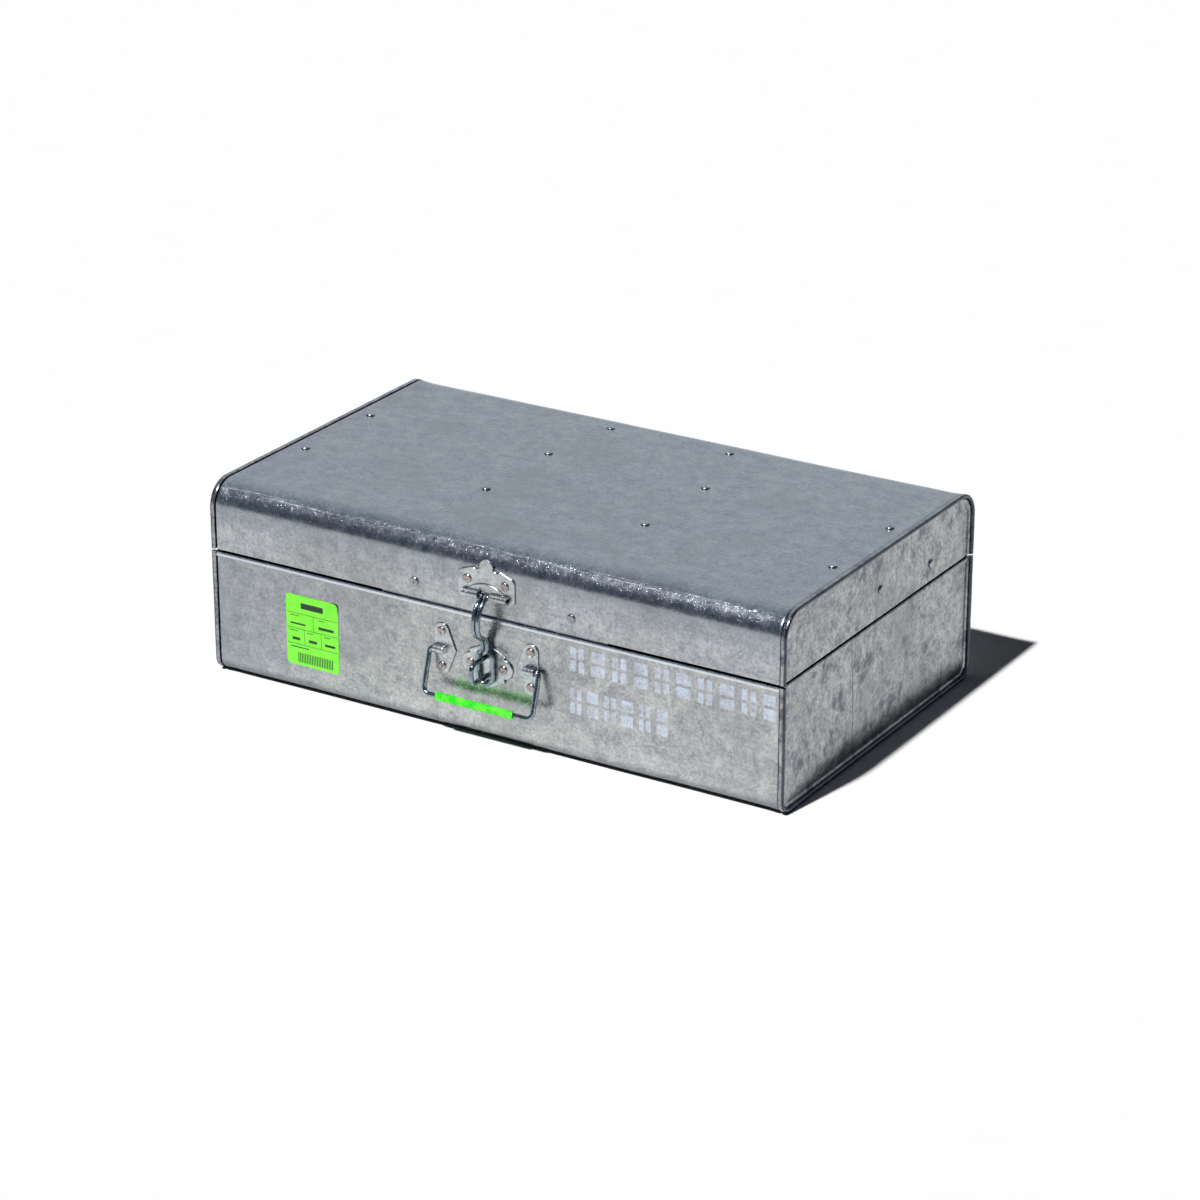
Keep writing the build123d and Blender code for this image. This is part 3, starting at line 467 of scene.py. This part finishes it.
def scored(material):
    """One deep scrape down the base's end, as wide as a nail's point, its bottom gone dark."""
    tree = material.node_tree
    x, y, z = add(tree, "ShaderNodeSeparateXYZ", {0: tree.nodes["place_in_mm"].outputs[0]}).outputs
    across = add(tree, "ShaderNodeMath", {0: z, 1: 0.052, 2: y}, operation="MULTIPLY_ADD").outputs[0]
    line = add(tree, "ShaderNodeMath", {0: across, 1: -22.14, 2: 0.42}, operation="COMPARE").outputs[0]
    low = add(tree, "ShaderNodeMath", {0: z, 1: base_top - 3.0}, operation="LESS_THAN").outputs[0]
    for share in (low, 0.75):
        line = add(tree, "ShaderNodeMath", {0: line, 1: share}, operation="MULTIPLY").outputs[0]
    covered(tree, line, "#2E3440")


scored(end_zinc)
for side, hand in ((-1, "left"), (1, "right")):
    shape = join([
        end_panel(side, base_top - 0.4, base_bottom, base_corner, 5.0 + side),
        end_rim(side, base_top, base_bottom, base_corner, 2.0 + side),
        end_hem(side),
    ])
    surface("base_%s_panel" % hand, *shape, end_zinc, "base", "galvanised_sheet", ["base_%s_end" % hand])

# ---- Lid sheet ----
# One galvanised sheet, rolled over at front and back to a 16 mm radius by hand, so the rolls carry small
# flats. It is lightly bellied on top and lifts a little where the end rims grip it.
lid_edge = 81.6
lid_top = 123.6
lid_roll = 16.0


def lid_push(x, y, z):
    """Dents of the lid sheet: a soft belly on top, small flats on the rolls, a flare beside the rims."""
    flat = ease(z, 121, 123.5)
    roll = ease(z, 104, 111) * (1 - flat)
    free = ease(half_length - abs(x), 5, 24)
    push = free * flat * (0.42 * rumple(x, y, z, 70, 9.2) + 0.10 * rumple(x, y, z, 22, 4.1))
    push += roll * (0.10 * rumple(x, y, z, 14, 6.3) + 0.05 * rumple(x, y * 2, z * 2, 6, 2.9))
    push += free * (1 - flat) * (1 - roll) * 0.14 * rumple(x, y, z, 45, 5.5) * ease(z, lid_edge, 95)
    return push + gripped(x)


# Zinc handled more than the base's: smoother, blue-grey on the roll and the top, which mirror the room, with a
# painted blue-grey reflection laid over them and the upper skirt.
lid_scratches = [((0, 0, 0.25), 0.70, "#D6DADF"), ((0, 0, -0.6), 0.71, "#6A7079"), ((0, 0.5, 0.2), 0.71, "#757B84")]
lid_zinc = galvanised(
    "galvanised_steel_rolled_lid", "#C6C8CA", "#8C9096", "#8F8F90", 0, 0.24, lid_scratches, depth=1.3, stains=0.25
)
# Painted reflection: blue-grey laid over the upper skirt, the roll and the top.
shaded(lid_zinc, 2, 94.0, 109.0, "#7A8594", 0.4)


def painted_roll_highlight(material):
    """Painted highlight along the crest of the front roll: a broken pale line where the lamp's glint runs, rougher
    there.
    """
    tree = material.node_tree
    mm = tree.nodes["place_in_mm"].outputs[0]
    x, y, z = add(tree, "ShaderNodeSeparateXYZ", {0: mm}).outputs
    drawn = add(tree, "ShaderNodeVectorMath", {0: mm, 1: (0.035, 0.8, 0.8)}, operation="MULTIPLY").outputs[0]
    dashes = {"Vector": drawn, "Scale": 1.0, "Detail": 5.0, "Roughness": 0.75}
    broken = add(tree, "ShaderNodeTexNoise", dashes).outputs[0]
    broken = add(tree, "ShaderNodeMapRange", {0: broken, 1: 0.48, 2: 0.62}).outputs[0]
    wander = add(tree, "ShaderNodeMapRange", {0: broken, 3: -0.35, 4: 0.35}).outputs[0]
    height = add(tree, "ShaderNodeMath", {0: z, 1: wander}, operation="ADD").outputs[0]
    crest_glint = add(tree, "ShaderNodeMath", {0: height, 1: lid_top - 3.2, 2: 0.75}, operation="COMPARE").outputs[0]
    ahead = add(tree, "ShaderNodeMath", {0: y, 1: front + 14.0}, operation="LESS_THAN").outputs[0]
    for share in (ahead, broken, 0.4):
        crest_glint = add(tree, "ShaderNodeMath", {0: crest_glint, 1: share}, operation="MULTIPLY").outputs[0]
    covered(tree, crest_glint, "#E2E8EE")
    roughness = tree.nodes["Principled BSDF"].inputs["Roughness"]
    rough = add(tree, "ShaderNodeMix", {0: crest_glint, 2: roughness.links[0].from_socket, 3: 0.45}).outputs[0]
    tree.links.new(rough, roughness)


# Painted highlight: a pale broken line on the front roll's crest.
painted_roll_highlight(lid_zinc)
shape = bent_sheet(sheet_path(lid_edge, lid_top, lid_roll), sheet_xs, lid_push)
surface("lid_sheet", *shape, lid_zinc, "lid", "galvanised_sheet", ["lid_body"])

# ---- Ends of the lid ----
# Made and folded on as the ends of the base are, with the bigger radius of the rolls.
for side, hand in ((-1, "left"), (1, "right")):
    shape = join([
        end_panel(side, lid_edge, lid_top, lid_roll, 11.0 + side),
        end_rim(side, lid_edge, lid_top, lid_roll, 14.0 + side),
    ])
    surface("lid_%s_panel" % hand, *shape, end_zinc, "lid", "galvanised_sheet", ["lid_%s_end" % hand])

# ---- Stiffeners and lip strips inside the lid ----
# Folded channels under the top, and joggled strips behind the skirt that step inside the base. Plain
# galvanised strip, cleaner than the outside because it is out of the weather.


def wear(names, material):
    """Give CAD nodes their real surface."""
    for name in names:
        slots = nodes[name].data.materials
        slots.clear()
        slots.append(material)


# Clean even zinc with a plain soft shine.
inner_zinc = galvanised("galvanised_steel_folded_strip", "#C4C7CB", "#9DA0A6", "#A3A4A6", 0, 0.3, [])
wear(["lid_front_stiffener", "lid_rear_stiffener", "lid_front_lip"], inner_zinc)
cross_zinc = galvanised("galvanised_steel_folded_end_strip", "#C4C7CB", "#9DA0A6", "#A3A4A6", 1, 0.3, [])
wear(["lid_left_lip", "lid_right_lip"], cross_zinc)

# ---- Rivets ----
# Soft steel rivets set by hand: flat round heads, 5.6 mm across, with the dimple of the punch, each a little
# out of true, and a spread tail inside. Tin-bright once, now pinkish grey, with a ring of painted shade at the sheet.
head_profile = [(0.0, 0.80), (0.5, 0.82), (0.95, 1.0), (1.5, 1.08), (2.05, 1.02), (2.5, 0.78), (2.75, 0.4)]
head_profile += [(2.8, 0.05), (2.7, -0.25)]
tail_profile = [(1.5, -0.25), (1.5, 0.0), (2.25, -0.05), (2.3, -0.35), (2.0, -0.62), (1.2, -0.72), (0.0, -0.74)]
punch_marks = 20


def rivet_at(x, y, z, out, grip, seed):
    """One rivet: head outwards along the direction out, shank through the sheets, tail behind."""
    out = Vector(out)
    side_way = out.orthogonal().normalized()
    up_way = out.cross(side_way)
    tilt = 0.05 * rumple(x, y, z, 3, seed)
    profile = head_profile + [(r, h - grip) for r, h in tail_profile]
    points = []
    faces = []
    for r, h in profile:
        for k in range(punch_marks):
            a = 2 * pi * k / punch_marks
            uneven = 1 + 0.02 * rumple(cos(a) * 9, sin(a) * 9, x + z, 7, seed)
            across = side_way * (r * uneven * cos(a)) + up_way * (r * uneven * sin(a))
            deep = h + (tilt * r * cos(a) if h > 0 else 0)
            points.append(tuple(Vector((x, y, z)) + across + out * deep))
    for i in range(len(profile) - 1):
        for k in range(punch_marks):
            a = i * punch_marks + k
            b = i * punch_marks + (k + 1) % punch_marks
            faces.append((a, b, b + punch_marks, a + punch_marks))
    return points, faces


def rivets(name, places, grip, material, body, stands_for):
    """One group of like rivets."""
    shape = join([rivet_at(*p, out, grip, 3.0 + i) for i, (p, out) in enumerate(places)])
    return surface(name, *shape, material, body, "rivets", [stands_for])


# Bare steel gone faintly pink where it was hammered, and duller zinc-washed heads on the lid and the back.
rivet_steel = galvanised(
    "mild_steel_rivet_hammered", "#C4B6B3", "#857C7E", "#94898A", 1, 0.26, [], depth=1.4, shade_reach=1.2
)
rivet_dull = galvanised(
    "galvanised_rivet_weathered", "#BBBFC4", "#7A7E86", "#85878C", 1, 0.26, [], depth=1.4, shade_reach=1.2
)
forward = (0, -1, 0)
backward = (0, 1, 0)
upward = (0, 0, 1)
sides = (-1, 1)
end_panel_x = half_length - panel_depth
stiffener_ys = (-29.775, 40.725)
stiffener_xs = (-185.5, -52.0, 60.0, 185.5)
lip_front_xs = (-50.8, 58.3)
lip_front_z = 91.61
lip_end_spots = ((7.825, 98.5), (72.525, 92.52))
hinge_top_y = 99.725
hinge_back_z = 94.6
hinge_base_z = 64.8
hinge_leaf = 0.9
fitting = 1.2
hasp_x = 0.5
hasp_plate_z = 102.192
staple_plate_z = 49.0
handle_x = -0.3
handle_z = 53.2
handle_plate_sheet = 1.0

top_rivets = [((x, y, lid_top + lid_push(x, y, lid_top)), upward) for y in stiffener_ys for x in stiffener_xs]
rivets("rivets_lid_top", top_rivets, 1.4, rivet_dull, "lid", "lid_top_rivets")
lip_rivets = [((x, front, lip_front_z), forward) for x in lip_front_xs]
lip_rivets += [((side * end_panel_x, y, z), (side, 0, 0)) for side in sides for y, z in lip_end_spots]
rivets("rivets_lid_lips", lip_rivets, 1.2, rivet_dull, "lid", "lid_lip_rivets")
hinge_rivets = [((x, hinge_top_y, lid_top), upward) for x in (-hinge_at, hinge_at)]
hinge_rivets += [((x, back, hinge_back_z), backward) for x in (-hinge_at, hinge_at)]
rivets("rivets_hinge_lid", hinge_rivets, 1.5, rivet_dull, "lid", "hinge_lid_rivets")
leaf_rivets = [((x + s * 7, back + hinge_leaf, hinge_base_z), backward) for x in (-hinge_at, hinge_at) for s in sides]
rivets("rivets_hinge_base", leaf_rivets, 1.5, rivet_dull, "base", "hinge_base_rivets")
hasp_rivets = [((hasp_x + s * 13, front - fitting, hasp_plate_z), forward) for s in sides]
rivets("rivets_hasp_plate", hasp_rivets, 2.4, rivet_steel, "lid", "hasp_plate_rivets")
staple_rivets = [((hasp_x + s * 11.5, front - fitting, staple_plate_z), forward) for s in sides]
rivets("rivets_staple_plate", staple_rivets, 1.8, rivet_steel, "base", "staple_plate_rivets")
handle_face = front - handle_plate_sheet
handle_rivets = [((handle_x + s * 31.1, handle_face, handle_z + u * 11.2), forward) for s in sides for u in sides]
rivets("rivets_handle_plates", handle_rivets, 1.6, rivet_steel, "base", "handle_plate_rivets")

# ---- Hinges, hasp plate, staple plate and handle plates ----
# Fittings stamped from 1 mm steel and bright zinc plated: smoother than the sheet, cool white with a faint
# warm tarnish, and painted shade where they meet the box.
plated = galvanised(
    "zinc_plated_steel_pressed", "#D2D6D8", "#989EA2", "#A8A9A4", 0, 0.27, [], depth=1.5, stains=0.2, shade_reach=0.9
)
wear(["hinge_left_base_leaf", "hinge_right_base_leaf", "hinge_left_lid_leaf", "hinge_right_lid_leaf"], plated)
wear(["hinge_left_pin", "hinge_right_pin", "hasp_plate", "staple_plate"], plated)
wear(["handle_left_plate", "handle_right_plate"], plated)

# ---- Hasp, staple and handle wire ----
# Drawn steel wire, 2.8 to 3.2 mm, zinc plated after bending: a hard blue-grey shine with fine draw lines.
wire = galvanised(
    "zinc_plated_steel_drawn_wire", "#A9B5BC", "#6A7780", "#7F8A91", 2, 0.13, [], depth=1.3, shade_reach=1.0
)
wear(["hasp", "staple", "handle_bail"], wire)

# ---- Grip ----
# A length of soft PVC tube, neon green and a little clouded, cut off at a slant and pushed over the wire.
# It lets some light through, so its edges glow.
grip_low, grip_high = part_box("handle_grip")
grip_turns = 22
grip_slant = tan(radians(18))
grip_bore = 1.66


def grip_shape():
    """Tube along X round the middle of its CAD box, slightly swollen and uneven."""
    low = grip_low * 1000
    high = grip_high * 1000
    y = (low.y + high.y) / 2
    z = (low.z + high.z) / 2
    radius = (high.z - low.z) / 2
    half = (high.x - low.x) / 2 - radius * grip_slant
    middle = (low.x + high.x) / 2
    points = []
    faces = []
    rings = [(grip_bore, -1.0), (grip_bore + 0.45, -1.0), (radius - 0.12, -0.998)]
    rings += [(radius, s) for s in spread(-0.985, 0.985, 0.05)]
    rings += [(radius - 0.12, 0.998), (grip_bore + 0.45, 1.0), (grip_bore, 1.0)]
    for r, s in rings:
        for k in range(grip_turns):
            a = 2 * pi * k / grip_turns
            swell = r * (1 + 0.018 * rumple(s * half, cos(a) * 3, sin(a) * 3, 5, 8.8) * (r > 2))
            x = middle + s * half - swell * cos(a) * grip_slant
            points.append((x, y + swell * cos(a), z + swell * sin(a)))
    for i in range(len(rings) - 1):
        for k in range(grip_turns):
            a = i * grip_turns + k
            b = i * grip_turns + (k + 1) % grip_turns
            faces.append((a, b, b + grip_turns, a + grip_turns))
    for k in range(grip_turns):
        last = (len(rings) - 1) * grip_turns
        faces.append((k, (k + 1) % grip_turns, last + (k + 1) % grip_turns, last + k))
    return points, faces


tube, tree, shader, mm = new_material("pvc_tube_extruded_neon_green")
milky = add(tree, "ShaderNodeTexNoise", {"Vector": mm, "Scale": 1 / 5, "Detail": 4.0}).outputs[0]
milky = add(tree, "ShaderNodeMapRange", {0: milky, 1: 0.4, 2: 0.68}).outputs[0]
skin = add(tree, "ShaderNodeMix", {0: milky, 6: colour("#2BD918"), 7: colour("#6CFF3C")}, data_type="RGBA").outputs[2]
tree.links.new(skin, shader.inputs["Base Color"])
haze = add(tree, "ShaderNodeMapRange", {0: milky, 3: 0.26, 4: 0.42}).outputs[0]
tree.links.new(haze, shader.inputs["Roughness"])
shader.inputs["IOR"].default_value = 1.53
shader.inputs["Subsurface Weight"].default_value = 0.35
shader.inputs["Subsurface Radius"].default_value = (0.3, 1.0, 0.2)
shader.inputs["Subsurface Scale"].default_value = 0.002
surface("grip_tube", *grip_shape(), tube, "handle", "green_tube", ["handle_grip"])

# ---- Sticker ----
# A printed vinyl sticker, 38 by 46 mm, green with dark ruled lines. It has gone slightly wavy and one of its
# upper corners is lifting. Its print is only lines, bars and blank cells.
label_low, label_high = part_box("label")
label_corner = 2.6
label_ink = "#16301A"


def label_shape():
    """Thin sheet on the front, its corners rounded, its surface a little wavy."""
    low = label_low * 1000
    high = label_high * 1000
    wide = high.x - low.x
    tall = high.z - low.z
    steps = [0.0, 0.1, 0.3, 0.7, 1.2, 1.9, 2.6]
    zs = [s for s in steps] + spread(4, tall - 4, 1.6) + [tall - s for s in reversed(steps)]
    across = [s / wide for s in steps] + spread(4 / wide, 1 - 4 / wide, 1.6 / wide)
    across += [1 - s / wide for s in reversed(steps)]
    outer = []
    inner = []
    for v in zs:
        over = max(0.0, label_corner - min(v, tall - v))
        inset = label_corner - sqrt(label_corner ** 2 - over * over)
        for share in across:
            x = low.x + inset + share * (wide - 2 * inset)
            z = low.z + v
            lift = 0.7 * ease((x - low.x) / wide + v / tall, 1.82, 2.0)
            y = front - 0.12 - 0.07 * (1 + rumple(x, 0, z, 9, 6.1)) - lift + base_push(x, front, z) * -1
            outer.append((x, y, z))
            inner.append((x, y + 0.12, z))
    return two_skins(outer, inner, len(zs), len(across))


def within(tree, value, middle, half):
    """1 where a value is within half of the middle."""
    return add(tree, "ShaderNodeMath", {0: value, 1: middle, 2: half}, operation="COMPARE").outputs[0]


def printed(tree, x, z, marks):
    """Ink: 1 inside any of the rectangles (middle x, middle z, half width, half height)."""
    ink = 0.0
    for mx, mz, hx, hz in marks:
        inside = {0: within(tree, x, mx, hx), 1: within(tree, z, mz, hz)}
        mark = add(tree, "ShaderNodeMath", inside, operation="MULTIPLY").outputs[0]
        ink = add(tree, "ShaderNodeMath", {0: ink, 1: mark}, operation="MAXIMUM").outputs[0]
    return ink


# Printed vinyl: a flat, strong green with a low satin shine and dark dull ink.
sticker, tree, shader, mm = new_material("vinyl_sticker_printed_green")
axes = add(tree, "ShaderNodeSeparateXYZ", {0: mm})
x, z = axes.outputs[0], axes.outputs[2]
lx, lz = label_low.x * 1000, label_low.z * 1000
rules = [(19.2, 34.0, 18.4, 0.16), (19.2, 24.0, 18.4, 0.16), (19.2, 13.8, 18.4, 0.16), (20.0, 29.0, 0.14, 5.0)]
rules += [(13.2, 18.9, 0.14, 5.1), (25.6, 18.9, 0.14, 5.1)]
thick = [(8.6, 27.2, 5.6, 0.55), (29.4, 27.4, 5.6, 0.9), (7.0, 17.2, 2.8, 0.9), (19.4, 17.2, 3.0, 0.9)]
thick += [(32.0, 17.2, 3.8, 0.8), (9.6, 11.8, 6.4, 0.35), (19.2, 39.4, 8.2, 1.9)]
thin = [(6.2, 32.4, 3.2, 0.25), (26.0, 32.4, 2.0, 0.25), (5.4, 22.4, 3.0, 0.25), (17.4, 22.4, 2.2, 0.25)]
thin += [(30.0, 22.4, 2.4, 0.25)]
ink = printed(tree, x, z, [(lx + a, lz + b, c, d) for a, b, c, d in rules + thick + thin])
bars = add(tree, "ShaderNodeMath", {0: x, 1: 1.25}, operation="DIVIDE").outputs[0]
bars = add(tree, "ShaderNodeMath", {0: bars}, operation="FRACT").outputs[0]
bars = within(tree, bars, 0.5, 0.27)
strip = printed(tree, x, z, [(lx + 21.0, lz + 5.2, 13.4, 3.2)])
bars = add(tree, "ShaderNodeMath", {0: bars, 1: strip}, operation="MULTIPLY").outputs[0]
ink = add(tree, "ShaderNodeMath", {0: ink, 1: bars}, operation="MAXIMUM").outputs[0]
grain = add(tree, "ShaderNodeTexNoise", {"Vector": mm, "Scale": 1 / 7, "Detail": 5.0}).outputs[0]
grain_tone = add(tree, "ShaderNodeMapRange", {0: grain, 1: 0.3, 2: 0.7}).outputs[0]
greens = {0: grain_tone, 6: colour("#6FE62A"), 7: colour("#82F03A")}
green = add(tree, "ShaderNodeMix", greens, data_type="RGBA").outputs[2]
skin = add(tree, "ShaderNodeMix", {0: ink, 6: green, 7: colour(label_ink)}, data_type="RGBA").outputs[2]
tree.links.new(skin, shader.inputs["Base Color"])
gloss = add(tree, "ShaderNodeMapRange", {0: grain, 3: 0.34, 4: 0.52}).outputs[0]
tree.links.new(gloss, shader.inputs["Roughness"])
relief = add(tree, "ShaderNodeBump", {"Height": grain, "Strength": 0.3, "Distance": 0.0001}).outputs[0]
tree.links.new(relief, shader.inputs["Normal"])
shader.inputs["IOR"].default_value = 1.5
surface("sticker_sheet", *label_shape(), sticker, "base", "green_label", ["label"])

# ---- Floor ----
# A matt white paper sweep, which keeps the trunk's shadow.
paper, tree, shader, mm = new_material("matt_paper_sweep")
fibre = add(tree, "ShaderNodeTexNoise", {"Vector": mm, "Scale": 1 / 40, "Detail": 3.0}).outputs[0]
whites = {0: fibre, 6: colour("#FAFAFA"), 7: colour("#FCFCFC")}
white = add(tree, "ShaderNodeMix", whites, data_type="RGBA").outputs[2]
tree.links.new(white, shader.inputs["Base Color"])
shader.inputs["Roughness"].default_value = 1.0
shader.inputs["Specular IOR Level"].default_value = 0.0
mesh = bpy.data.meshes.new("floor")
mesh.from_pydata([(-9, -9, 0), (9, -9, 0), (9, 9, 0), (-9, 9, 0)], [], [(0, 1, 2, 3)])
mesh.materials.append(paper)
floor = bpy.data.objects.new("floor", mesh)
bpy.context.scene.collection.objects.link(floor)

# ---- Light ----
# One far lamp high in front, a little softened, and a plain grey-blue room that the metal reflects.
lamp = bpy.data.lights.new("key_lamp", "SUN")
lamp.energy = 3.75
lamp.angle = radians(2.0)
key = bpy.data.objects.new("key_lamp", lamp)
key.rotation_euler = Vector((0.092, 0.525, -0.845)).to_track_quat("-Z", "Y").to_euler()
bpy.context.scene.collection.objects.link(key)
world = bpy.data.worlds.new("studio")
bpy.context.scene.world = world
world.use_nodes = True
tree = world.node_tree
tree.nodes.clear()
rays = add(tree, "ShaderNodeLightPath", {}).outputs
way = add(tree, "ShaderNodeTexCoord", {}).outputs["Generated"]
near = add(tree, "ShaderNodeVectorMath", {0: way, 1: (-0.47, 0.80, 0.37)}, operation="DOT_PRODUCT").outputs["Value"]
near = add(tree, "ShaderNodeMapRange", {0: near, 1: 0.2, 2: 0.95}, interpolation_type="SMOOTHSTEP").outputs[0]
room = add(tree, "ShaderNodeMix", {0: near, 6: colour("#566172"), 7: colour("#D9DFE6")}, data_type="RGBA").outputs[2]
backdrop = {0: rays["Is Camera Ray"], 6: room, 7: colour("#FFFFFF")}
room = add(tree, "ShaderNodeMix", backdrop, data_type="RGBA").outputs[2]
seen = rays["Is Camera Ray"]
for ray in ("Is Glossy Ray", "Is Transmission Ray"):
    seen = add(tree, "ShaderNodeMath", {0: seen, 1: rays[ray]}, operation="MAXIMUM").outputs[0]
glow = add(tree, "ShaderNodeMix", {0: seen, 6: colour("#24262B"), 7: room}, data_type="RGBA").outputs[2]
sky = add(tree, "ShaderNodeBackground", {0: glow})
add(tree, "ShaderNodeOutputWorld", {0: sky.outputs[0]})

# ---- Camera ----
camera_data = bpy.data.cameras.new("camera")
camera_data.lens = 117.96
camera_data.sensor_width = 36.0
camera_data.clip_start = 0.1
camera = bpy.data.objects.new("camera", camera_data)
camera.location = (1.16718, -1.881205, 0.97542)
camera.rotation_euler = Vector((-0.48344, 0.78610, -0.38513)).to_track_quat("-Z", "Y").to_euler()
bpy.context.scene.collection.objects.link(camera)
bpy.context.scene.camera = camera
bpy.context.scene.view_settings.view_transform = "Standard"
